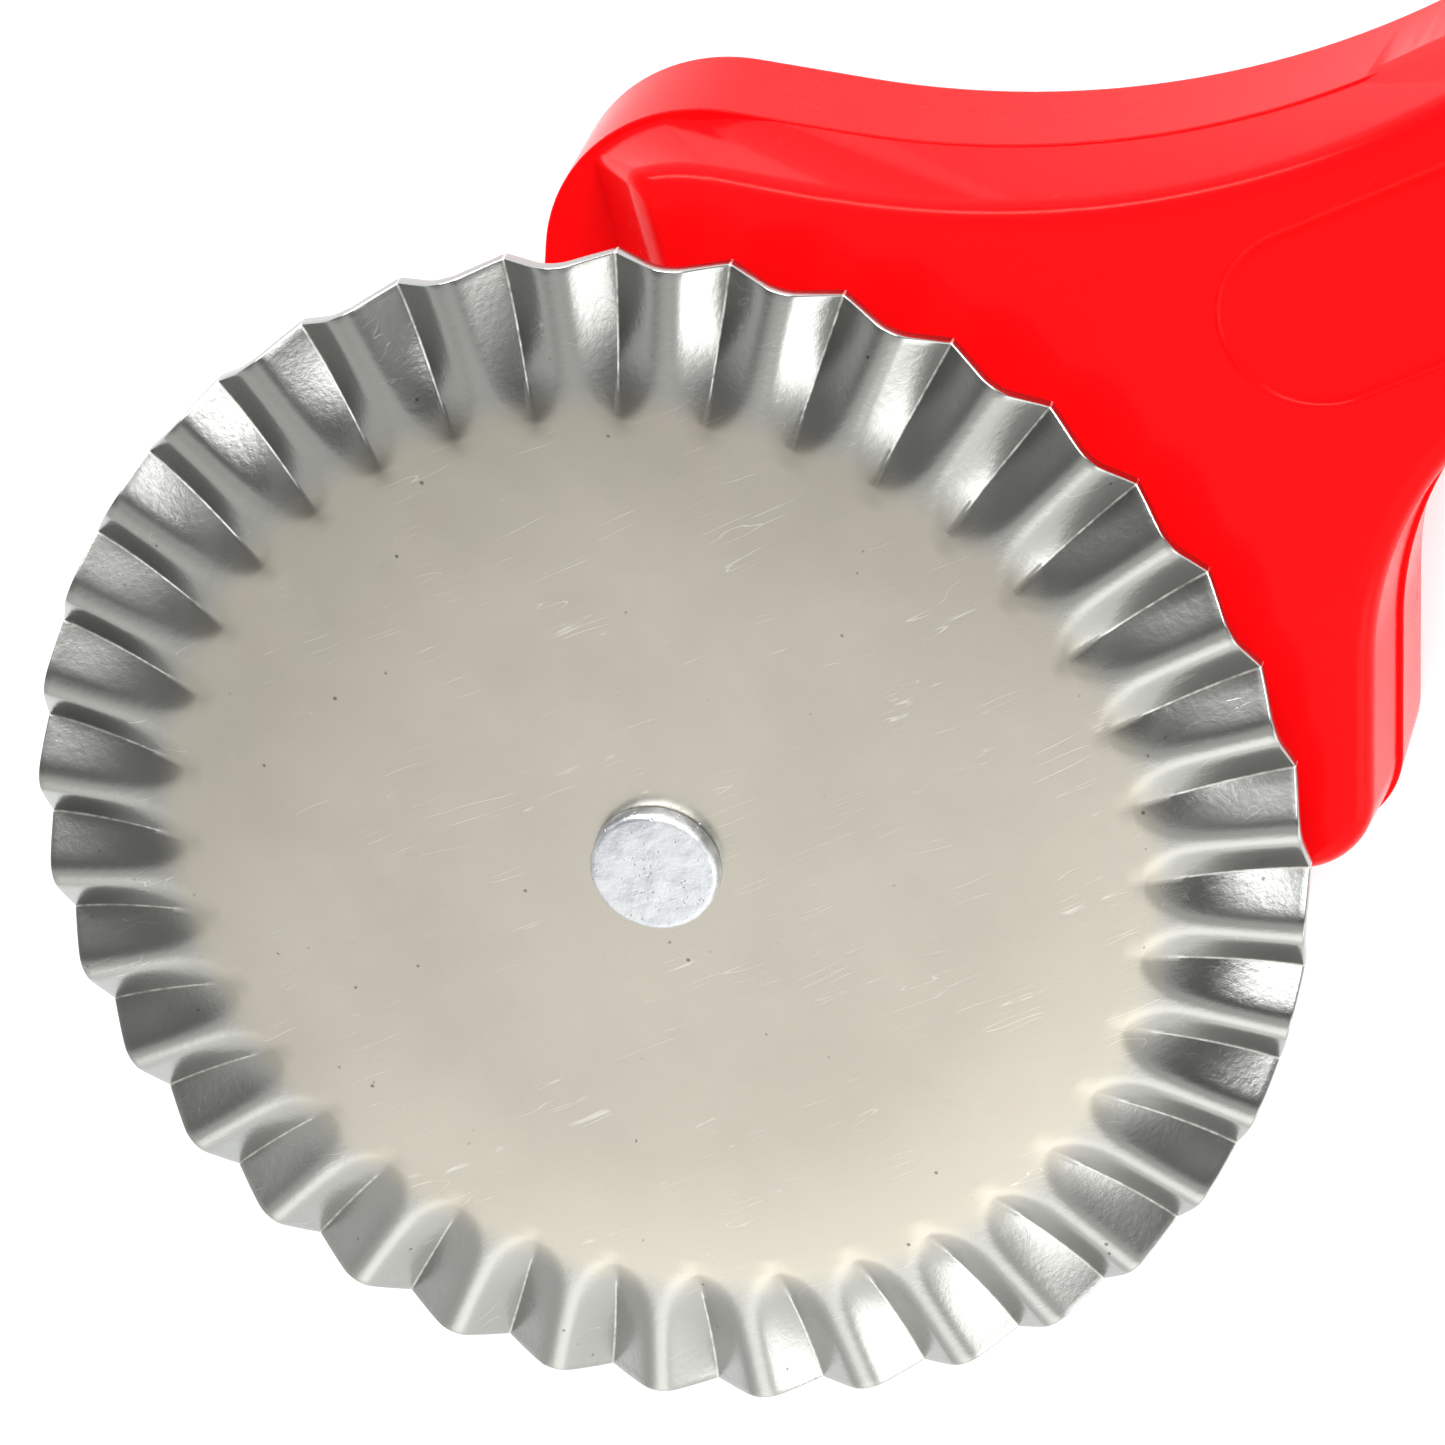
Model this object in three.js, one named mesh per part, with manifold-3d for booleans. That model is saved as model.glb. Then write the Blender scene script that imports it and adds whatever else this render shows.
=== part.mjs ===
// Fluted pastry cutter wheel on a cranked plastic handle, held by one rivet.
// Millimetres. The tool lies on its back: +Z is the wheel's axis, out of the
// front, and +X runs along the grip. Sizes are set from the axle first, and the
// whole tool is then moved so that its box stands centred on the origin.
import * as THREE from 'three';
import { toCreasedNormals } from 'three/addons/utils/BufferGeometryUtils.js';
import Module from 'manifold-3d';

// ---------------------------------------------------------------- dimensions
const WHEEL_R = 32;                  // radius of the cutter wheel
const SHEET = 0.65;                  // its sheet metal
const FLUTES = 36;                   // flutes around the rim
const FLUTE_START = 0.78 * WHEEL_R;  // where the flutes leave the flat disc
const RIDGE_DROP = 0.022 * WHEEL_R;  // how far a ridge lies behind the disc at the rim
const CREASE_DROP = 0.077 * WHEEL_R; // and a crease
const FLUTE_TURN = 5;                // degrees from +X to the first crease
const GAP = 0.3;                     // clearance between separate pieces
const SAGITTA = 0.05;                // how far a facet of the outline may cut its arc

const HEAD_R = 3.25;                 // rivet head, the flat one on the front
const HEAD_RISE = 1.15;              // its face above the disc
const SHANK_R = 1.6;                 // rivet shank
const TAIL_R = 3;                    // rivet head at the back
const TAIL_H = 0.9;
const WASHER_R = 4.3;                // washer under the rear rivet head
const WASHER_H = 0.8;
const BORE_R = SHANK_R + GAP;        // hole in the wheel, the washer and the handle

const THICK = 12.5;                  // handle, back face to front face
const PART_LINE = 6.75;              // height of the line where the mould halves meet
const DRAFT = 0.7;                   // how much the front half narrows to the front
const FRONT_ROUND = 0.9;             // edge at the front face
const BACK_ROUND = 0.7;              // edge at the back face
const DISC_OVER = 4.8;               // disc's front plane above the handle's front face
const DISC_Z = THICK + DISC_OVER;
const BOSS_R = 7.5;                  // boss that carries the wheel
const BOSS_TOP = DISC_Z - SHEET - GAP;
const SINK_R = WASHER_R + GAP;       // counterbore for the washer and the rear head
const SINK_H = 2.8;

const GRIP_Y = 0.37 * WHEEL_R;       // the grip's middle line, beside the axle
const NECK_HALF = 0.252 * WHEEL_R;   // half width of the neck
const BELLY_HALF = 13;               // half width of the grip
const BELLY_X = 104;                 // where the grip is widest
const BELLY_R = 170;                 // how round its sides are
const END_R = 10;                    // rounded end of the grip
const END_X = 152;                   // the far end
const HANG_R = 4;                    // hanging hole
const HANG_X = END_X - END_R;

const HEAD_TURN = 21;                // degrees from the grip to the head's middle line
const STOP_HIGH_ANGLE = 54;          // the two sloping stops either side of that line
const STOP_LOW_ANGLE = 63;
const STOP_TOP = 0.253 * WHEEL_R;    // where they meet, at the front face
const STOP_FOOT = 0.111 * WHEEL_R;   // and at the parting line
const PANEL_HALF = 0.149 * WHEEL_R;  // sunk label panel in the neck, left blank
const PANEL_START = 1.16 * WHEEL_R;
const PANEL_LENGTH = 62;
const PANEL_DEPTH = 0.4;

// The outline, anticlockwise, is a belt laid around these circles. A negative
// radius is a hollow: the belt passes it on the other side.
const OUTLINE = [
  { x: 0, y: 0, r: 0.3 * WHEEL_R },                                        // nose around the axle
  { x: 0.895 * WHEEL_R, y: -0.345 * WHEEL_R, r: 0.15 * WHEEL_R },           // lower horn
  { x: 1.658 * WHEEL_R, y: GRIP_Y - NECK_HALF - 0.585 * WHEEL_R, r: -0.585 * WHEEL_R },
  { x: BELLY_X, y: GRIP_Y - BELLY_HALF + BELLY_R, r: BELLY_R },
  { x: END_X - END_R, y: GRIP_Y, r: END_R },
  { x: BELLY_X, y: GRIP_Y + BELLY_HALF - BELLY_R, r: BELLY_R },
  { x: 1.513 * WHEEL_R, y: GRIP_Y + NECK_HALF + 1.4 * WHEEL_R, r: -1.4 * WHEEL_R },
  { x: 0.437 * WHEEL_R, y: 0.736 * WHEEL_R, r: 0.268 * WHEEL_R },           // upper horn
];

// ------------------------------------------------------------------- solids
const { Manifold, Mesh } = await Module().then((lib) => (lib.setup(), lib));
const degrees = THREE.MathUtils.degToRad;

const plastic = new THREE.MeshStandardMaterial({ color: 0xe01018, roughness: 0.18, metalness: 0 });
const steel = new THREE.MeshStandardMaterial({ color: 0xc8c3b6, roughness: 0.38, metalness: 1 });
const aluminium = new THREE.MeshStandardMaterial({ color: 0xb9bec4, roughness: 0.5, metalness: 1 });

// Direction of the straight run from one circle of the belt to the next.
function runDirection(from, to) {
  const dx = to.x - from.x;
  const dy = to.y - from.y;
  return Math.atan2(dy, dx) - Math.asin((to.r - from.r) / Math.hypot(dx, dy));
}

// The outline moved in by `inset`. Every inset gives the same number of points,
// in the same order, so the loops can be skinned to each other.
function outline(inset) {
  const points = [];
  OUTLINE.forEach((circle, i) => {
    const before = OUTLINE.at(i - 1);
    const after = OUTLINE[(i + 1) % OUTLINE.length];
    const start = runDirection(before, circle);
    const sweep = (runDirection(circle, after) - start + 4 * Math.PI) % (2 * Math.PI);
    const arc = circle.r > 0 ? sweep : sweep - 2 * Math.PI;
    const facet = 2 * Math.acos(1 - SAGITTA / Math.abs(circle.r));
    const steps = Math.ceil(Math.abs(arc) / facet);
    for (let k = 0; k <= steps; k += 1) {
      const heading = start + (arc * k) / steps;
      const reach = circle.r - inset;
      points.push([circle.x + reach * Math.sin(heading), circle.y - reach * Math.cos(heading)]);
    }
  });
  return points;
}

// A closed solid from loops of equal length stacked in Z, flat at both ends.
function skin(loops) {
  const count = loops[0].points.length;
  const vertices = loops.flatMap(({ points, z }) => points.flatMap(([x, y]) => [x, y, z]));
  const triangles = [];
  for (let level = 0; level + 1 < loops.length; level += 1) {
    for (let i = 0; i < count; i += 1) {
      const a = level * count + i;
      const b = level * count + ((i + 1) % count);
      triangles.push(a, b, b + count, a, b + count, a + count);
    }
  }
  const flat = (loop) => loop.points.map(([x, y]) => new THREE.Vector2(x, y));
  const last = (loops.length - 1) * count;
  THREE.ShapeUtils.triangulateShape(flat(loops[0]), []).forEach(([a, b, c]) => {
    triangles.push(a, c, b);
  });
  THREE.ShapeUtils.triangulateShape(flat(loops.at(-1)), []).forEach(([a, b, c]) => {
    triangles.push(last + a, last + b, last + c);
  });
  return solid(vertices, triangles);
}

function solid(vertices, triangles) {
  return new Manifold(new Mesh({
    numProp: 3,
    vertProperties: new Float32Array(vertices),
    triVerts: new Uint32Array(triangles),
  }));
}

function geometryOf(manifold) {
  const { vertProperties, triVerts } = manifold.getMesh();
  const geometry = new THREE.BufferGeometry();
  geometry.setAttribute('position', new THREE.BufferAttribute(new Float32Array(vertProperties), 3));
  geometry.setIndex(new THREE.BufferAttribute(new Uint32Array(triVerts), 1));
  return toCreasedNormals(geometry, degrees(30));
}

function rod(radius, bottom, top, x = 0, y = 0, segments = 48) {
  return Manifold.cylinder(top - bottom, radius, radius, segments).translate([x, y, bottom]);
}

// ------------------------------------------------------------------- pieces
// Depth of the disc's face behind its flat middle.
function fluteDrop(radius, angle) {
  if (radius <= FLUTE_START) return 0;
  const run = (radius - FLUTE_START) / (WHEEL_R - FLUTE_START);
  const grown = Math.sin((Math.PI / 2) * Math.min(1, run * 1.15)) ** 1.2;
  const crease = 1 - Math.abs(Math.sin((FLUTES / 2) * (angle - degrees(FLUTE_TURN))));
  return grown * (RIDGE_DROP + (CREASE_DROP - RIDGE_DROP) * crease);
}

function cutterWheel() {
  const around = 4 * FLUTES;
  const radii = [BORE_R, FLUTE_START, 0.84 * WHEEL_R, 0.92 * WHEEL_R, WHEEL_R];
  const loop = [...radii.map((r) => [r, 0]), ...radii.toReversed().map((r) => [r, SHEET])];
  const vertices = [];
  for (let i = 0; i < around; i += 1) {
    const angle = (2 * Math.PI * i) / around;
    loop.forEach(([r, depth]) => {
      const z = DISC_Z - depth - fluteDrop(r, angle);
      vertices.push(r * Math.cos(angle), r * Math.sin(angle), z);
    });
  }
  const triangles = [];
  for (let i = 0; i < around; i += 1) {
    for (let j = 0; j < loop.length; j += 1) {
      const a = i * loop.length + j;
      const b = i * loop.length + ((j + 1) % loop.length);
      const c = ((i + 1) % around) * loop.length + j;
      const d = ((i + 1) % around) * loop.length + ((j + 1) % loop.length);
      triangles.push(a, b, d, a, d, c);
    }
  }
  return solid(vertices, triangles);
}

// A lathe profile of [radius, z] points, from the axis out and back to it.
function turned(profile, segments = 48) {
  const outlinePoints = profile.map(([r, z]) => new THREE.Vector2(r, z));
  const lathe = new THREE.LatheGeometry(outlinePoints, segments);
  return toCreasedNormals(lathe.rotateX(Math.PI / 2), degrees(30));
}

function axleRivet() {
  const under = DISC_Z + GAP;
  const face = DISC_Z + HEAD_RISE;
  const chamfer = 0.2;
  const tailBottom = SINK_H - 2 * GAP - WASHER_H - TAIL_H;
  return turned([
    [0, tailBottom],
    [TAIL_R - chamfer, tailBottom],
    [TAIL_R, tailBottom + chamfer],
    [TAIL_R, tailBottom + TAIL_H],
    [SHANK_R, tailBottom + TAIL_H],
    [SHANK_R, under],
    [HEAD_R, under],
    [HEAD_R, face - chamfer],
    [HEAD_R - chamfer, face],
    [0, face],
  ]);
}

function rearWasher() {
  const top = SINK_H - GAP;
  return rod(WASHER_R, top - WASHER_H, top).subtract(rod(BORE_R, 0, DISC_Z));
}

// Everything forward of the two sloping stops, between the parting line and
// the front face.
function aheadOfStops() {
  const far = 4 * END_X;
  const middle = degrees(HEAD_TURN);
  const corners = [[STOP_FOOT, PART_LINE], [STOP_TOP, THICK]].flatMap(([apex, z]) => {
    const x = apex * Math.cos(middle);
    const y = apex * Math.sin(middle);
    const sides = [-STOP_LOW_ANGLE, STOP_HIGH_ANGLE].map((turn) => middle + degrees(turn));
    return [[x, y, z], ...sides.map((a) => [x + far * Math.cos(a), y + far * Math.sin(a), z])];
  });
  return Manifold.hull(corners);
}

function handle() {
  const back = skin([
    { points: outline(BACK_ROUND), z: 0 },
    { points: outline(0.3 * BACK_ROUND), z: 0.3 * BACK_ROUND },
    { points: outline(0), z: BACK_ROUND },
    { points: outline(0), z: PART_LINE },
  ]);
  const edge = FRONT_ROUND;
  const front = skin([
    { points: outline(0), z: PART_LINE },
    { points: outline(DRAFT), z: THICK - edge },
    { points: outline(DRAFT + 0.3 * edge), z: THICK - 0.3 * edge },
    { points: outline(DRAFT + edge), z: THICK },
  ]);
  const panelEnd = PANEL_START + PANEL_LENGTH;
  const panel = Manifold.hull([PANEL_START + PANEL_HALF, panelEnd - PANEL_HALF].map(
    (x) => rod(PANEL_HALF, THICK - PANEL_DEPTH, THICK + 1, x, GRIP_Y, 32),
  ));
  return back
    .add(front.intersect(aheadOfStops()))
    .add(rod(BOSS_R, PART_LINE - 1, BOSS_TOP))
    .subtract(panel)
    .subtract(rod(BORE_R, -1, DISC_Z))
    .subtract(rod(SINK_R, -1, SINK_H))
    .subtract(rod(HANG_R, -1, THICK + 1, HANG_X, GRIP_Y));
}

// ----------------------------------------------------------------- assembly
const pieces = [
  ['handle', geometryOf(handle()), plastic],
  ['cutter_wheel', geometryOf(cutterWheel()), steel],
  ['axle_rivet', axleRivet(), aluminium],
  ['rear_washer', geometryOf(rearWasher()), aluminium],
];

const tool = new THREE.Group();
tool.name = 'pastry_cutter_wheel';
pieces.forEach(([name, geometry, material]) => {
  const mesh = new THREE.Mesh(geometry, material);
  mesh.name = name;
  tool.add(mesh);
});

// The box of the tool, standing on z = 0 and centred on the origin.
tool.position.set((WHEEL_R - END_X) / 2, 0, 0);

export default tool;
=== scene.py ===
"""Looks of the fluted pastry cutter wheel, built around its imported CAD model.

Lengths are in metres, in the CAD frame: the tool lies on its back, +Z is the
wheel's axis out of the front, and +X runs along the grip.
"""
from math import acos, asin, atan2, ceil, cos, hypot, pi, radians, sin, sqrt

import bmesh
import bpy
from mathutils import Matrix, Quaternion, Vector, noise


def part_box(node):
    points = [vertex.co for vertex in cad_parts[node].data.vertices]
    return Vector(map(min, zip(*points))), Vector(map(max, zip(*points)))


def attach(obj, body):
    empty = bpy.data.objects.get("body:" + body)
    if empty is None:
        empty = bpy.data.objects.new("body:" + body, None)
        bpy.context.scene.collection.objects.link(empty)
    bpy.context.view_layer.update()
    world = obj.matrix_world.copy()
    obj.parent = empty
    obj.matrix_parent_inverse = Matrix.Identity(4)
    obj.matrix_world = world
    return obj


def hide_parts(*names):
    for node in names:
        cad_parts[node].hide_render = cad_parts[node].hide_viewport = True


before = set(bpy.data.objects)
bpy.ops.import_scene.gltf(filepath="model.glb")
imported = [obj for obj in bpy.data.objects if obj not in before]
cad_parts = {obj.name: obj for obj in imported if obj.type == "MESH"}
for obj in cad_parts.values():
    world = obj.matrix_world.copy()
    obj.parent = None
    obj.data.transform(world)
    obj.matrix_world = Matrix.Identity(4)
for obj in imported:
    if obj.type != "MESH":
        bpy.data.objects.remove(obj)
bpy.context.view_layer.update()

# ------------------------------------------------------ sizes from the frame
MM = 0.001
WHEEL_LOW, WHEEL_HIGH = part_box("cutter_wheel")
RIVET_LOW, RIVET_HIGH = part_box("axle_rivet")
WASHER_LOW, WASHER_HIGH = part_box("rear_washer")
HANDLE_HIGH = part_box("handle")[1]

WHEEL_R = (WHEEL_HIGH.x - WHEEL_LOW.x) / 2
AXLE = Vector(((WHEEL_HIGH.x + WHEEL_LOW.x) / 2, (WHEEL_HIGH.y + WHEEL_LOW.y) / 2, 0))
DISC_Z = WHEEL_HIGH.z                    # front plane of the flat disc
HEAD_R = (RIVET_HIGH.x - RIVET_LOW.x) / 2
HEAD_RISE = RIVET_HIGH.z - DISC_Z        # rivet's face above the disc
BOSS_TOP = HANDLE_HIGH.z
WASHER_R = (WASHER_HIGH.x - WASHER_LOW.x) / 2

# --------------------------------------------------- the CAD model's own sizes
SHEET = 0.65 * MM
FLUTES = 36
DOME_START = 0.52 * WHEEL_R              # where the flat middle begins to fall away
FLUTE_START = 0.755 * WHEEL_R            # the flutes' inner ends
FLUTE_NOSE = 0.35                        # share of a flute's length in its rounded end
FLUTE_HALF = 0.79                        # a flute's half-width, of half the pitch
FLUTE_SLIT = 0.02                        # a flute's half-width where it begins
FLUTE_SWELL = 1.4                        # above 1, flutes deepen faster at first
RIDGE_DROP = 0.022 * WHEEL_R             # fall of the ridges out to the rim
RIDGE_CURVE = 1.9                        # above 1, the ridges fall faster further out
CREASE_DROP = DISC_Z - SHEET - WHEEL_LOW.z
FLUTE_TURN = radians(5)                  # heading of one crease
FLUTE_COLUMNS = 20                       # mesh columns in each flute
MIDDLE_RINGS = 24
FLUTED_RINGS = 26
GAP = 0.3 * MM                           # air round the shank and the washer
SHANK_R = 1.6 * MM
BORE_R = SHANK_R + GAP
TAIL_R = 3 * MM
TAIL_H = 0.9 * MM
HEAD_EDGE = 0.3 * MM                     # rounding of both of the rivet's heads

DISC_OVER = 4.8 * MM                     # disc above the handle's front face
THICK = DISC_Z - DISC_OVER
PART_LINE = THICK - 5.75 * MM
LIP = 0.12 * MM                          # step between the two halves of the mould
DRAFT = 0.7 * MM                         # how far the front half's wall leans in
FRONT_ROUND = 1.3 * MM                   # the CAD's is 0.9; the real edge is softer
BACK_ROUND = 0.7 * MM
BOSS_R = 7.5 * MM
BOSS_ROUND = 0.5 * MM
SINK_R = WASHER_R + GAP
SINK_H = WASHER_HIGH.z + GAP

GRIP_Y = 0.37 * WHEEL_R
NECK_HALF = 0.252 * WHEEL_R
BELLY_HALF = 13 * MM
BELLY_X = 104 * MM
BELLY_R = 170 * MM
END_R = 10 * MM
END_X = HANDLE_HIGH.x - AXLE.x
HANG_R = 4 * MM
HANG_X = END_X - END_R
HANG_ROUND = 0.8 * MM                    # rounding of the hanging hole's mouths

HEAD_TURN = radians(21)
STOP_ANGLES = {1: radians(54), -1: radians(63)}   # towards the upper and the lower horn
STOP_TOP = 0.253 * WHEEL_R
STOP_FOOT = 0.111 * WHEEL_R
PANEL_HALF = 0.149 * WHEEL_R
PANEL_START = 1.16 * WHEEL_R
PANEL_LENGTH = 62 * MM
PANEL_DEPTH = 0.4 * MM

# Circles that the handle's outline is a belt around, anticlockwise: x and y from
# the axle, and the radius, negative at a hollow.
HORN_LOW = (0.895 * WHEEL_R, -0.345 * WHEEL_R, 0.15 * WHEEL_R)
HORN_HIGH = (0.437 * WHEEL_R, 0.736 * WHEEL_R, 0.268 * WHEEL_R)
NECK_LOW = (1.658 * WHEEL_R, GRIP_Y - NECK_HALF - 0.585 * WHEEL_R, -0.585 * WHEEL_R)
NECK_HIGH = (1.513 * WHEEL_R, GRIP_Y + NECK_HALF + 1.4 * WHEEL_R, -1.4 * WHEEL_R)
BELLY_LOW = (BELLY_X, GRIP_Y - BELLY_HALF + BELLY_R, BELLY_R)
BELLY_HIGH = (BELLY_X, GRIP_Y + BELLY_HALF - BELLY_R, BELLY_R)
GRIP_END = (HANG_X, GRIP_Y, END_R)
NOSE = (0, 0, 0.3 * WHEEL_R)
OUTLINE = [NOSE, HORN_LOW, NECK_LOW, BELLY_LOW, GRIP_END, BELLY_HIGH, NECK_HIGH, HORN_HIGH]
TIP_R = 1.5 * MM                         # rounding where the two stops meet
CORNER_R = 0.8 * MM                      # rounding where a stop meets a horn
STOP_ROUND = 0.5                         # rounding along a stop, of the front edge's elsewhere

# Between the handle's pieces and cutters, so that none ends exactly on another's face.
OVERLAP = 1 * MM
CLEAR = 1 * MM
SLIVER = 0.01 * MM


# ---------------------------------------------------------------- mesh tools
def run_direction(start, end):
    """Direction of the belt's straight run from one circle to the next."""
    dx, dy = end[0] - start[0], end[1] - start[1]
    lean = (end[2] - start[2]) / hypot(dx, dy)
    return atan2(dy, dx) - asin(max(-1, min(1, lean)))


def belt(circles, inset=0.0, sagitta=0.004 * MM):
    """Points of the belt around the circles, moved in by inset. The number of
    points and their order are the same at every inset."""
    points = []
    for i, circle in enumerate(circles):
        start, arc = belt_arc(circles, i)
        steps = ceil(abs(arc) / (2 * acos(1 - sagitta / abs(circle[2]))))
        for k in range(steps + 1):
            heading = start + arc * k / steps
            reach = circle[2] - inset
            points.append((circle[0] + reach * sin(heading), circle[1] - reach * cos(heading)))
    return points


def belt_arc(circles, i):
    """Heading at which the belt meets circle i, and how far it turns there."""
    start = run_direction(circles[i - 1], circles[i])
    sweep = (run_direction(circles[i], circles[(i + 1) % len(circles)]) - start) % (2 * pi)
    return start, sweep if circles[i][2] > 0 else sweep - 2 * pi


def lofted(name, loops):
    """A closed mesh skinned over loops of (points, z), flat at both ends."""
    mesh = bmesh.new()
    rings = [[mesh.verts.new((x, y, z)) for x, y in points] for points, z in loops]
    for low, high in zip(rings, rings[1:]):
        for i in range(len(low)):
            mesh.faces.new((low[i - 1], low[i], high[i], high[i - 1]))
    mesh.faces.new(reversed(rings[0]))
    mesh.faces.new(rings[-1])
    return finished(name, mesh)


def finished(name, mesh):
    """The bmesh as an object in the scene, moved from the axle to its place."""
    bmesh.ops.remove_doubles(mesh, verts=mesh.verts, dist=0.0005 * MM)
    bmesh.ops.translate(mesh, verts=mesh.verts, vec=AXLE)
    bmesh.ops.recalc_face_normals(mesh, faces=mesh.faces)
    data = bpy.data.meshes.new(name)
    mesh.to_mesh(data)
    mesh.free()
    thing = bpy.data.objects.new(name, data)
    bpy.context.scene.collection.objects.link(thing)
    return thing


def ring(radius, count=96, x=0.0, y=0.0):
    return [
        (x + radius * cos(2 * pi * i / count), y + radius * sin(2 * pi * i / count))
        for i in range(count)
    ]


def rounding(radius, steps):
    """(inset, depth) pairs of a quarter round, from the wall to the face."""
    angles = [pi / 2 * k / steps for k in range(steps + 1)]
    return [(radius * (1 - cos(a)), radius * (1 - sin(a))) for a in angles]


def turned(name, profile, count=96):
    """A solid of revolution about the axle from (radius, z) pairs."""
    mesh = bmesh.new()
    rings = []
    for radius, z in profile:
        if radius == 0:
            rings.append([mesh.verts.new((0, 0, z))])
        else:
            rings.append([mesh.verts.new((x, y, z)) for x, y in ring(radius, count)])
    for low, high in zip(rings, rings[1:]):
        for i in range(count):
            corners = [low[(i - 1) % len(low)], low[i % len(low)], high[i % len(high)],
                       high[(i - 1) % len(high)]]
            mesh.faces.new(list(dict.fromkeys(corners)))
    return finished(name, mesh)


def combined(target, others, operation):
    """Joins others to the target, or cuts them from it, and removes them."""
    for other in others:
        change = target.modifiers.new("boolean", "BOOLEAN")
        change.operation = operation
        change.solver = "EXACT"
        change.object = other
        apply_modifiers(target)
        bpy.data.objects.remove(other)
    return target


def apply_modifiers(thing):
    depsgraph = bpy.context.evaluated_depsgraph_get()
    thing.data = bpy.data.meshes.new_from_object(thing.evaluated_get(depsgraph))
    thing.modifiers.clear()


def smoothed(thing, angle=32):
    """Smooth shading up to a crease angle, with flat faces kept flat."""
    thing.data.shade_smooth()
    thing.data.set_sharp_from_angle(angle=radians(angle))
    weigh = thing.modifiers.new("weighted", "WEIGHTED_NORMAL")
    weigh.keep_sharp = True
    weigh.weight = 90
    return thing


# -------------------------------------------------------------------- pieces
def flute_drop(radius, angle):
    """Depth of the sheet's face below its flat middle. The disc first falls away
    gently. Each flute is a V with flat flanks between narrow ridges, and starts
    with a rounded end."""
    ridge = RIDGE_DROP * max(0, (radius - DOME_START) / (WHEEL_R - DOME_START)) ** RIDGE_CURVE
    if radius <= FLUTE_START:
        return ridge
    run = (radius - FLUTE_START) / (WHEEL_R - FLUTE_START)
    turn = (angle - FLUTE_TURN) * FLUTES / (2 * pi)
    off = 2 * abs(turn - round(turn))                 # 0 at a crease, 1 at a ridge
    nose = min(run / FLUTE_NOSE, 1)
    half = FLUTE_HALF * sqrt(1 - (1 - nose) ** 2) + FLUTE_SLIT
    valley = soft_step(half - off) / soft_step(half)
    return ridge + (CREASE_DROP - ridge) * (1 - (1 - run) ** FLUTE_SWELL) * valley


def soft_step(value, soft=0.11):
    """Twice a positive value and nothing of a negative one, without a corner."""
    return sqrt(value**2 + soft**2) + value


def sheet_profile():
    """The sheet's section as (radius, depth) pairs: out along its front, round
    the rim, back along its rear and round the bore."""
    edge = 0.1 * MM
    inner, outer = BORE_R + edge, WHEEL_R - edge
    middle = [inner + (FLUTE_START - inner) * k / MIDDLE_RINGS for k in range(MIDDLE_RINGS + 1)]
    fluted = [FLUTE_START + (outer - FLUTE_START) * k / FLUTED_RINGS for k in range(1, FLUTED_RINGS + 1)]
    radii = middle + fluted
    corner = rounding(edge, 3)
    rim = [(WHEEL_R - inset, depth) for inset, depth in reversed(corner)]
    bore = [(BORE_R + inset, depth) for inset, depth in reversed(corner)]
    front = [(r, 0) for r in radii]
    profile = front + rim[1:] + [(r, SHEET - d) for r, d in reversed(rim)][:-1]
    profile += [(r, SHEET) for r in reversed(radii)]
    profile += [(r, SHEET - d) for r, d in bore[1:]] + list(reversed(bore))[:-1]
    return profile


def cutter_wheel():
    """The disc's section swept round the axle, each point lowered into its flute."""
    profile = sheet_profile()
    around = FLUTES * FLUTE_COLUMNS
    mesh = bmesh.new()
    columns = []
    for i in range(around):
        angle = 2 * pi * i / around
        columns.append([
            mesh.verts.new((r * cos(angle), r * sin(angle), DISC_Z - depth - flute_drop(r, angle)))
            for r, depth in profile
        ])
    for here, there in zip(columns, columns[1:] + columns[:1]):
        for j in range(len(profile)):
            mesh.faces.new((here[j - 1], here[j], there[j], there[j - 1]))
    return smoothed(finished("wheel_sheet", mesh), 40)


def axle_rivet():
    """The rivet, its front head flat but beaten, with a rounded, burred edge."""
    sink_floor = SINK_H - 2 * GAP - (WASHER_HIGH.z - WASHER_LOW.z)
    tail = sink_floor - TAIL_H
    under = DISC_Z + 0.04 * MM
    top = DISC_Z + HEAD_RISE
    chamfer = 0.1 * MM
    edge = rounding(HEAD_EDGE, 6)
    profile = [(0, tail)]
    profile += [(TAIL_R - inset, tail + depth) for inset, depth in reversed(edge)]
    profile += [(TAIL_R, sink_floor), (SHANK_R, sink_floor), (SHANK_R, under)]
    profile += [(HEAD_R - chamfer, under), (HEAD_R, under + chamfer)]
    profile += [(HEAD_R - inset, top - depth) for inset, depth in edge]
    profile += [((HEAD_R - HEAD_EDGE) * (1 - k / 24), top) for k in range(1, 25)]
    rivet = turned("rivet", profile, 128)
    for vertex in rivet.data.vertices:
        if vertex.co.z > under + 2 * chamfer:
            vertex.co -= hammered(vertex.co - AXLE)
    return smoothed(rivet, 50)


def hammered(place):
    """How far a point of the rivet's head has been beaten in."""
    away = hypot(place.x, place.y) / HEAD_R
    dents = noise.fractal(place / (0.55 * MM), 0.9, 2.1, 3)
    blow = noise.noise(place / (1.6 * MM))
    crown = 0.05 * away**2
    depth = (0.03 * (1 + dents) / 2 + 0.05 * (1 + blow) / 2 + crown) * MM
    rim = 0.03 * MM * (1 + noise.noise(Vector((place.x, place.y, 0)) / (0.5 * MM)))
    outward = Vector((place.x, place.y, 0)).normalized() if away > 0.05 else Vector((0, 0, 0))
    return Vector((0, 0, depth)) + outward * rim * away**4


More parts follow.
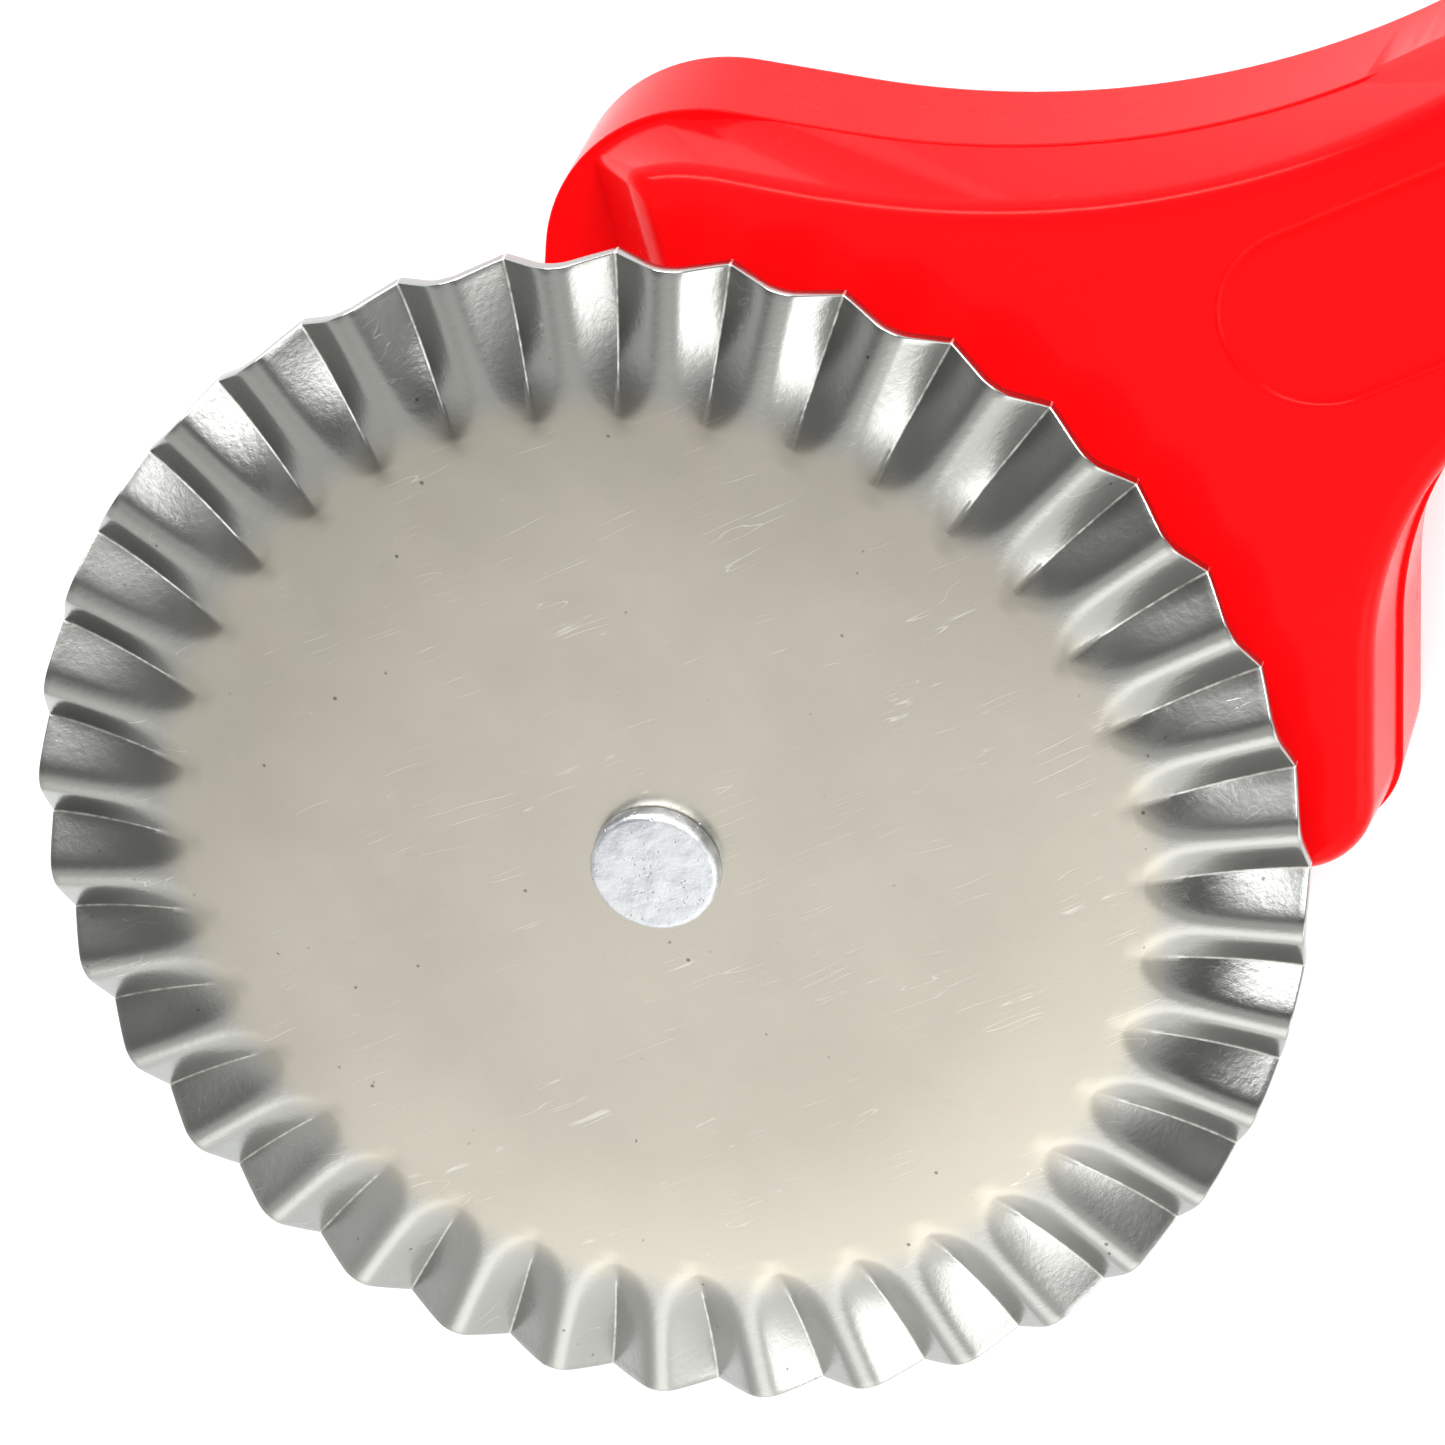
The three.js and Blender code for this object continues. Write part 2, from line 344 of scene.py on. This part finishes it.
def rear_washer():
    low, high = WASHER_LOW.z, WASHER_HIGH.z
    corner = rounding(0.08 * MM, 3)
    loop = [(WASHER_R - inset, high - depth) for inset, depth in corner]
    loop += [(BORE_R + inset, high - depth) for inset, depth in reversed(corner)]
    loop += [(BORE_R + inset, low + depth) for inset, depth in corner]
    loop += [(WASHER_R - inset, low + depth) for inset, depth in reversed(corner)]
    return smoothed(turned("backing_washer", loop + loop[:1]), 40)


def front_loop(z, inset):
    """The handle's front half at a height, moved in. Two sloping stops that
    meet near the axle cut off its head, and all its corners are rounded."""
    share = (z - PART_LINE) / (THICK - PART_LINE)
    apex = STOP_FOOT + (STOP_TOP - STOP_FOOT) * share
    apex = Vector((cos(HEAD_TURN), sin(HEAD_TURN))) * apex
    stop_inset = STOP_ROUND * max(0, inset - DRAFT)
    outline = belt(OUTLINE, inset)
    sunk = belt(OUTLINE, inset + CORNER_R)
    low = stop_end(sunk, apex, stop_inset, -1)
    high = stop_end(sunk, apex, stop_inset, 1)
    tip = meeting(apex, low[0], high[0], stop_inset + TIP_R)
    low_corner = (point_at(outline, low[1]) - low[2]).normalized()
    high_corner = (point_at(outline, high[1]) - high[2]).normalized()
    count = 2 * len(outline)
    loop = arc_points(tip, TIP_R, -high[0], -low[0])
    loop += arc_points(low[2], CORNER_R, -low[0], low_corner)
    loop += [point_at(outline, low[1] + (high[1] - low[1]) * k / count) for k in range(1, count)]
    loop += arc_points(high[2], CORNER_R, high_corner, -high[0])
    return [tuple(point) for point in loop]


def meeting(apex, first, second, depth):
    """The point at one depth inside both of two lines through the apex."""
    across = first.x * second.y - first.y * second.x
    return apex + Vector((second.y - first.y, first.x - second.x)) * (depth / across)


def stop_end(sunk, apex, inset, side):
    """Where a stop's rounded corner sits on a horn: the stop's inward normal,
    the corner's place along the sunk outline, and its centre."""
    run = HEAD_TURN + side * STOP_ANGLES[side]
    along = Vector((cos(run), sin(run)))
    inward = Vector((sin(run), -cos(run))) * side
    reach = apex + inward * (inset + CORNER_R)
    heights = [(Vector(point) - reach).dot(inward) for point in sunk]
    for i, (here, there) in enumerate(zip(heights, heights[1:])):
        if here * there < 0:
            place = i + here / (here - there)
            centre = point_at(sunk, place)
            if (centre - apex).dot(along) > 0:
                return inward, place, centre


def point_at(points, place):
    """The point at a fractional place along a run of points."""
    i = min(int(place), len(points) - 2)
    return Vector(points[i]).lerp(Vector(points[i + 1]), place - i)


def arc_points(centre, radius, start, end, steps=8):
    """A short arc from one direction round to another."""
    turn = start.angle_signed(end)
    return [centre + radius * (Matrix.Rotation(-turn * k / steps, 2) @ start) for k in range(steps + 1)]


def handle_back():
    """The moulding's rear half, up to the step at the parting line."""
    loops = [(belt(OUTLINE, inset), depth) for inset, depth in reversed(rounding(BACK_ROUND, 8))]
    loops += [(belt(OUTLINE, inset), PART_LINE - depth) for inset, depth in rounding(LIP, 3)]
    return lofted("moulding", loops)


def handle_front():
    """The moulding's front half, its wall leaning in and its front edge rounded."""
    levels = [(PART_LINE - OVERLAP, LIP), (THICK - FRONT_ROUND, DRAFT)]
    levels += [(THICK - depth, DRAFT + inset) for inset, depth in rounding(FRONT_ROUND, 8)[1:]]
    return lofted("front_half", [(front_loop(z, inset), z) for z, inset in levels])


def boss():
    loops = [(ring(BOSS_R), PART_LINE - OVERLAP)]
    loops += [(ring(BOSS_R - inset), BOSS_TOP - depth) for inset, depth in rounding(BOSS_ROUND, 6)]
    return lofted("boss", loops)


def panel():
    """What is cut from the grip's face for its shallow panel."""
    ends = [
        (PANEL_START + PANEL_HALF, GRIP_Y, PANEL_HALF),
        (PANEL_START + PANEL_LENGTH - PANEL_HALF, GRIP_Y, PANEL_HALF),
    ]
    floor_z = THICK - PANEL_DEPTH
    edge = reversed(rounding(PANEL_DEPTH, 6))
    loops = [(belt(ends, inset), floor_z + depth) for inset, depth in edge]
    return lofted("panel", loops + [(belt(ends), THICK + CLEAR)])


def hanging_hole():
    """What is cut from the grip's end for its hole, wider at both mouths."""
    mouth = rounding(HANG_ROUND, 6)
    wall = [(HANG_R + HANG_ROUND, -CLEAR)]
    wall += [(HANG_R + inset, depth - SLIVER) for inset, depth in reversed(mouth)]
    wall += [(HANG_R + inset, THICK - depth + SLIVER) for inset, depth in mouth]
    wall += [(HANG_R + HANG_ROUND, THICK + CLEAR)]
    return lofted("hole", [(ring(radius, x=HANG_X, y=GRIP_Y), z) for radius, z in wall])


def handle():
    """The halves and the boss joined, and the panel and the holes cut from them."""
    sink = lofted("sink", [(ring(SINK_R), -CLEAR), (ring(SINK_R), SINK_H)])
    bore = lofted("bore", [(ring(BORE_R), 0), (ring(BORE_R), BOSS_TOP + CLEAR)])
    moulding = combined(handle_back(), [handle_front(), boss()], "UNION")
    combined(moulding, [panel(), sink, bore, hanging_hole()], "DIFFERENCE")
    return smoothed(moulding)


# ----------------------------------------------------------------- materials
class Nodes:
    """A short way to write a material's nodes."""

    def __init__(self, name):
        self.material = bpy.data.materials.new(name)
        self.material.use_nodes = True
        self.tree = self.material.node_tree
        self.shader = self.tree.nodes["Principled BSDF"]
        self.place = self.add("ShaderNodeTexCoord").outputs["Object"]

    def add(self, kind, **settings):
        node = self.tree.nodes.new(kind)
        for key, value in settings.items():
            setattr(node, key, value)
        return node

    def link(self, source, target):
        self.tree.links.new(source, target)

    def put(self, socket, value):
        if isinstance(value, bpy.types.NodeSocket):
            self.link(value, socket)
        else:
            socket.default_value = value

    def math(self, operation, a, b=0.0):
        node = self.add("ShaderNodeMath", operation=operation)
        for socket, value in zip(node.inputs, (a, b)):
            self.put(socket, value)
        return node.outputs[0]

    def moved(self, location=(0, 0, 0), turn=(0, 0, 0), scale=(1, 1, 1), vector=None):
        node = self.add("ShaderNodeMapping")
        self.link(vector or self.place, node.inputs["Vector"])
        node.inputs["Location"].default_value = location
        node.inputs["Rotation"].default_value = turn
        node.inputs["Scale"].default_value = scale
        return node.outputs[0]

    def noise(self, scale, detail=2.0, rough=0.5, vector=None):
        node = self.add("ShaderNodeTexNoise")
        self.link(vector or self.place, node.inputs["Vector"])
        node.inputs["Scale"].default_value = scale
        node.inputs["Detail"].default_value = detail
        node.inputs["Roughness"].default_value = rough
        return node.outputs["Fac"]

    def cells(self, scale):
        node = self.add("ShaderNodeTexVoronoi")
        self.link(self.place, node.inputs["Vector"])
        node.inputs["Scale"].default_value = scale
        return node.outputs["Distance"]

    def ramp(self, value, low, high, start=0.0, end=1.0):
        """A smooth change from start to end as the value goes from low to high."""
        node = self.add("ShaderNodeMapRange", interpolation_type="SMOOTHSTEP")
        for name, amount in zip(("Value", "From Min", "From Max", "To Min", "To Max"),
                                (value, low, high, start, end)):
            self.put(node.inputs[name], amount)
        return node.outputs[0]

    def mix(self, factor, a, b):
        node = self.add("ShaderNodeMix", data_type="RGBA")
        self.put(node.inputs["Factor"], factor)
        self.put(node.inputs[6], a)
        self.put(node.inputs[7], b)
        return node.outputs[2]

    def bump(self, height, distance, strength=1.0, after=None):
        node = self.add("ShaderNodeBump")
        self.link(height, node.inputs["Height"])
        node.inputs["Distance"].default_value = distance
        node.inputs["Strength"].default_value = strength
        if after:
            self.link(after, node.inputs["Normal"])
        return node.outputs[0]

    def bent(self, size, reach):
        """Places shifted to and fro, so that straight marks curve a little."""
        sway = self.add("ShaderNodeTexNoise")
        self.link(self.place, sway.inputs["Vector"])
        sway.inputs["Scale"].default_value = 1 / size
        shift = self.add("ShaderNodeVectorMath", operation="MULTIPLY_ADD")
        self.link(sway.outputs["Color"], shift.inputs[0])
        shift.inputs[1].default_value = (reach, reach, reach)
        self.link(self.place, shift.inputs[2])
        return shift.outputs[0]

    def scratches(self, turn, pitch, stretch, width):
        """Hair-thin marks that come and go, across one direction."""
        bent_place = self.bent(9 * MM, 1.5 * MM)
        turned_place = self.moved(turn=(0, 0, turn), scale=(1 / stretch, 1, 1), vector=bent_place)
        lines = self.noise(1 / pitch, 1.0, 0.5, turned_place)
        near = self.math("ABSOLUTE", self.math("SUBTRACT", lines, 0.5))
        return self.ramp(near, 0.0, width, 1.0, 0.0)


STEEL_DULL = (0.43, 0.411, 0.357, 1)
STEEL_CLEAN = (0.47, 0.450, 0.392, 1)
STEEL_STAINED = (0.46, 0.40, 0.375, 1)
STEEL_PRESSED = (0.355, 0.365, 0.36, 1)
STEEL_SCRATCHED = (0.80, 0.79, 0.76, 1)
# painted glint: a near-white colour laid along the creases as their highlight
STEEL_PAINTED_GLINT = (0.95, 0.94, 0.90, 1)
STEEL_SPECK = (0.09, 0.075, 0.06, 1)


def steel():
    """Satin tinned sheet: fine handling scratches, specks and faint stains,
    and a painted glint: a bright line along the creases that stands in for their highlight."""
    n = Nodes("satin_steel")
    cloud = n.noise(1 / (11 * MM), 4.0, 0.6)
    grain = n.noise(1 / (0.10 * MM), 3.0, 0.7)
    marks = handling_marks(n)
    fluted, crease = flute_masks(n)
    # painted glint along the creases, broken into bright dashes by noise
    glint_breakup = n.ramp(n.noise(1 / (0.5 * MM), 3.0, 0.7), 0.30, 0.66, 0.3, 1.0)
    painted_glint = n.math("MULTIPLY", crease, glint_breakup)
    n.link(steel_colour(n, cloud, fluted, marks, painted_glint), n.shader.inputs["Base Color"])
    n.shader.inputs["Metallic"].default_value = 1.0
    rough = n.math("ADD", n.ramp(cloud, 0.25, 0.75, 0.19, 0.25), n.math("MULTIPLY", grain, 0.05))
    # the painted glint along the creases is also made rougher
    rough = n.math("ADD", rough, n.math("MULTIPLY", painted_glint, 0.3))
    n.link(rough, n.shader.inputs["Roughness"])
    uneven = n.noise(1 / (0.45 * MM), 3.0, 0.65)
    height = n.math("MULTIPLY", uneven, n.math("ADD", n.math("MULTIPLY", fluted, 1.3), 0.10))
    wavy = n.bump(height, 0.012 * MM, 0.8)
    fine = n.bump(grain, 0.004 * MM, 0.6, wavy)
    n.link(n.bump(n.math("SUBTRACT", 1.0, marks), 0.004 * MM, 0.3, fine), n.shader.inputs["Normal"])
    return n.material


def handling_marks(n):
    """Scratches in four directions, each family in patches of its own."""
    marks = 0.0
    families = ((0.35, 60, 0.9), (1.1, 90, 1.3), (2.0, 50, 0.8), (2.75, 110, 1.6))
    for i, (turn, stretch, pitch) in enumerate(families):
        line = n.scratches(turn, pitch * MM, stretch, 0.006)
        where = n.noise(1 / (4.5 * MM), 3.0, 0.6, n.moved(location=(i * 0.37, i * 0.11, i * 0.23)))
        marks = n.math("MAXIMUM", marks, n.math("MULTIPLY", line, n.ramp(where, 0.57, 0.70)))
    return marks


def steel_colour(n, cloud, fluted, marks, painted_glint):
    """The sheet's colour, under its stains, scratches, specks and the painted glint along its creases.
    """
    stain = n.ramp(n.noise(1 / (6 * MM), 3.0, 0.55, n.moved(location=(0.5, 0.2, 0.1))), 0.55, 0.75)
    specks = n.math("MULTIPLY", n.ramp(n.cells(1 / (1.1 * MM)), 0.05, 0.13, 1.0, 0.0),
                    n.ramp(n.noise(1 / (1.7 * MM), 2.0, 0.6), 0.60, 0.64))
    colour = n.mix(n.ramp(cloud, 0.3, 0.7), STEEL_DULL, STEEL_CLEAN)
    layers = (
        (stain, 0.35, STEEL_STAINED),
        (fluted, 0.85, STEEL_PRESSED),
        (marks, 0.40, STEEL_SCRATCHED),
        (specks, 0.75, STEEL_SPECK),
        # painted glint along the creases
        (painted_glint, 0.75, STEEL_PAINTED_GLINT),
    )
    for mask, strength, over in layers:
        colour = n.mix(n.math("MULTIPLY", mask, strength), colour, over)
    return colour


def flute_masks(n):
    """Where the sheet is fluted, and the thin lines along its creases where the glint is painted."""
    split = n.add("ShaderNodeSeparateXYZ")
    n.link(n.moved(location=tuple(-AXLE)), split.inputs[0])
    x, y = split.outputs[0], split.outputs[1]
    radius = n.math("SQRT", n.math("ADD", n.math("MULTIPLY", x, x), n.math("MULTIPLY", y, y)))
    turn = n.math("SUBTRACT", n.math("ARCTAN2", y, x), FLUTE_TURN)
    turn = n.math("MULTIPLY", turn, FLUTES / (2 * pi))
    off = n.math("ABSOLUTE", n.math("SUBTRACT", turn, n.math("ROUND", turn)))
    fluted = n.ramp(radius, FLUTE_START, FLUTE_START + 0.06 * WHEEL_R)
    started = n.ramp(radius, 0.79 * WHEEL_R, 0.82 * WHEEL_R)
    return fluted, n.math("MULTIPLY", n.ramp(off, 0.004, 0.016, 1.0, 0.0), started)


def aluminium():
    """Matt aluminium, dented and pitted by the riveting hammer."""
    n = Nodes("beaten_aluminium")
    cloud = n.noise(1 / (1.2 * MM), 4.0, 0.6)
    pits = n.ramp(n.cells(1 / (0.28 * MM)), 0.05, 0.35, 1.0, 0.0)
    keep = n.ramp(n.noise(1 / (0.7 * MM), 2.0, 0.6), 0.5, 0.62)
    pits = n.math("MULTIPLY", pits, keep)
    colour = n.mix(n.ramp(cloud, 0.3, 0.7), (0.55, 0.58, 0.62, 1), (0.71, 0.73, 0.75, 1))
    colour = n.mix(n.math("MULTIPLY", pits, 0.45), colour, (0.30, 0.31, 0.33, 1))
    n.link(colour, n.shader.inputs["Base Color"])
    n.shader.inputs["Metallic"].default_value = 1.0
    n.link(n.ramp(cloud, 0.3, 0.7, 0.42, 0.58), n.shader.inputs["Roughness"])
    coarse = n.bump(n.noise(1 / (0.35 * MM), 3.0, 0.6), 0.05 * MM, 0.8)
    n.link(n.bump(n.math("SUBTRACT", 1.0, pits), 0.05 * MM, 0.9, coarse), n.shader.inputs["Normal"])
    return n.material


def red_plastic():
    """Glossy moulded plastic, faintly uneven, with a few fine scuffs."""
    n = Nodes("red_plastic")
    swell = n.noise(1 / (14 * MM), 2.0, 0.5)
    skin = n.noise(1 / (0.9 * MM), 2.0, 0.5)
    scuffs = n.math("MULTIPLY", n.scratches(0.7, 0.9 * MM, 30, 0.01),
                    n.ramp(n.noise(1 / (6 * MM), 2.0, 0.5), 0.55, 0.7))
    colour = n.mix(swell, (0.86, 0.0026, 0.0040, 1), (0.92, 0.0034, 0.0052, 1))
    n.link(colour, n.shader.inputs["Base Color"])
    rough = n.math("ADD", n.ramp(swell, 0.3, 0.7, 0.14, 0.2), n.math("MULTIPLY", scuffs, 0.25))
    n.link(rough, n.shader.inputs["Roughness"])
    n.shader.inputs["IOR"].default_value = 1.46
    n.shader.inputs["Specular IOR Level"].default_value = 0.08
    n.shader.inputs["Specular Tint"].default_value = (1, 0.62, 0.55, 1)
    waves = n.bump(swell, 0.10 * MM, 0.5)
    n.link(n.bump(skin, 0.004 * MM, 0.5, waves), n.shader.inputs["Normal"])
    return n.material


# --------------------------------------------------------------- the studio
GRIP_TURN = radians(15)                  # how far the grip is turned in the room
VIEW_TILT = radians(32.0)                # camera's axis from the wheel's axis
VIEW_TURN = radians(54.3) - GRIP_TURN
VIEW_ROLL = radians(-155.4)
VIEW_AIM = Vector((0.164, 0.227, 0)) * WHEEL_R
VIEW_DISTANCE = 11.41 * WHEEL_R
LENS = 187.5

# What brightens or shades the room: direction in the room's frame, the angles
# within which it is full and beyond which it is gone, and how much it adds.
ROOM_LEVEL = 0.85
ROOM = [
    ((-0.10, -0.90, 0.45), 0, 46, 0.65),         # pale wall
    ((0.70, -0.60, 0.40), 0, 34, 0.70),          # reflector
    ((0.20, 0.93, 0.25), 8, 40, 0.45),           # glow around the window
    ((-0.58, 0.42, 0.70), 6, 44, -0.62),         # dark corner
    ((0.15, 0.48, 0.86), 4, 27, -0.42),          # dark shelf
    ((0.72, 0.50, 0.48), 0, 52, -0.30),          # dark wall
    ((0.50, 0.22, 0.84), 6, 28, -0.45),          # someone beside the camera
    ((-0.14, -0.72, 0.68), 2, 25, 1.00),         # bright patch of ceiling
]

# Direction in the room's frame, distance, width and height, and power.
LIGHTS = {
    "window": ((0.14, 0.91, 0.36), 0.7, (0.9, 0.12), 9),
    "reflector": ((0.74, -0.52, 0.42), 0.9, (0.6, 0.5), 2),
    "lamp": ((0.52, 0.60, 0.61), 0.26, (0.11, 0.08), 0.14),
}


def seen(x, y, z):
    """A direction given in the room's frame, in the CAD frame."""
    return (Matrix.Rotation(-GRIP_TURN, 3, "Z") @ Vector((x, y, z))).normalized()


def camera():
    toward = Vector((sin(VIEW_TILT) * cos(VIEW_TURN), sin(VIEW_TILT) * sin(VIEW_TURN), cos(VIEW_TILT)))
    aim = AXLE + Vector((0, 0, DISC_Z)) + Matrix.Rotation(-GRIP_TURN, 3, "Z") @ VIEW_AIM
    eye = bpy.data.objects.new("camera", bpy.data.cameras.new("camera"))
    eye.location = aim + toward * VIEW_DISTANCE
    eye.rotation_mode = "QUATERNION"
    eye.rotation_quaternion = toward.to_track_quat("Z", "Y") @ Quaternion((0, 0, 1), VIEW_ROLL)
    eye.data.lens = LENS
    eye.data.sensor_width = 36
    eye.data.clip_start = 0.01
    bpy.context.scene.collection.objects.link(eye)
    bpy.context.scene.camera = eye


def floor():
    data = bpy.data.meshes.new("floor")
    half = 3.0
    corners = [(-half, -half, 0), (half, -half, 0), (half, half, 0), (-half, half, 0)]
    data.from_pydata(corners, [], [(0, 1, 2, 3)])
    ground = bpy.data.objects.new("floor", data)
    bpy.context.scene.collection.objects.link(ground)
    n = Nodes("pale_floor")
    tone = n.noise(40, 3.0, 0.6)
    n.link(n.mix(tone, (0.92, 0.935, 0.96, 1), (0.93, 0.945, 0.97, 1)), n.shader.inputs["Base Color"])
    n.shader.inputs["Emission Color"].default_value = (0.97, 0.985, 1.0, 1)
    n.shader.inputs["Emission Strength"].default_value = 0.28
    n.shader.inputs["Roughness"].default_value = 0.9
    n.shader.inputs["Specular IOR Level"].default_value = 0.1
    data.materials.append(n.material)
    ground.location.z = -0.2 * MM


def softbox(name, direction, distance, size, power):
    """A rectangular light that faces the wheel's centre."""
    data = bpy.data.lights.new(name, "AREA")
    data.shape = "RECTANGLE"
    data.size, data.size_y = size
    data.energy = power
    lamp = bpy.data.objects.new(name, data)
    lamp.location = AXLE + Vector((0, 0, DISC_Z)) + direction * distance
    lamp.rotation_mode = "QUATERNION"
    lamp.rotation_quaternion = direction.to_track_quat("Z", "Y")
    bpy.context.scene.collection.objects.link(lamp)


def surroundings():
    """A pale room, darker around the camera."""
    world = bpy.data.worlds.new("room")
    bpy.context.scene.world = world
    world.use_nodes = True
    tree = world.node_tree
    back = tree.nodes["Background"]
    way = tree.nodes.new("ShaderNodeTexCoord").outputs["Generated"]

    def math(operation, a, b):
        node = tree.nodes.new("ShaderNodeMath")
        node.operation = operation
        for socket, value in zip(node.inputs, (a, b)):
            if isinstance(value, bpy.types.NodeSocket):
                tree.links.new(value, socket)
            else:
                socket.default_value = value
        return node.outputs[0]

    def lobe(direction, inner, outer, amount):
        dot = tree.nodes.new("ShaderNodeVectorMath")
        dot.operation = "DOT_PRODUCT"
        tree.links.new(way, dot.inputs[0])
        dot.inputs[1].default_value = direction
        step = tree.nodes.new("ShaderNodeMapRange")
        step.interpolation_type = "SMOOTHSTEP"
        tree.links.new(dot.outputs["Value"], step.inputs["Value"])
        step.inputs["From Min"].default_value = cos(radians(outer))
        step.inputs["From Max"].default_value = cos(radians(inner))
        step.inputs["To Max"].default_value = amount
        return step.outputs[0]

    strength = ROOM_LEVEL
    for direction, inner, outer, amount in ROOM:
        strength = math("ADD", strength, lobe(seen(*direction), inner, outer, amount))
    tree.links.new(math("MAXIMUM", strength, 0.05), back.inputs["Strength"])
    back.inputs["Color"].default_value = (1.0, 0.985, 0.955, 1)


def dress(piece, material, body, node):
    piece.data.materials.clear()
    piece.data.materials.append(material)
    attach(piece, body)
    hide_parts(node)


camera()
floor()
surroundings()
for name, (direction, distance, size, power) in LIGHTS.items():
    softbox(name, seen(*direction), distance, size, power)
bpy.context.scene.view_settings.view_transform = "Standard"

metal, rivet_metal, plastic = steel(), aluminium(), red_plastic()
dress(handle(), plastic, "tool_body", "handle")
dress(axle_rivet(), rivet_metal, "tool_body", "axle_rivet")
dress(rear_washer(), rivet_metal, "tool_body", "rear_washer")
dress(cutter_wheel(), metal, "wheel", "cutter_wheel")
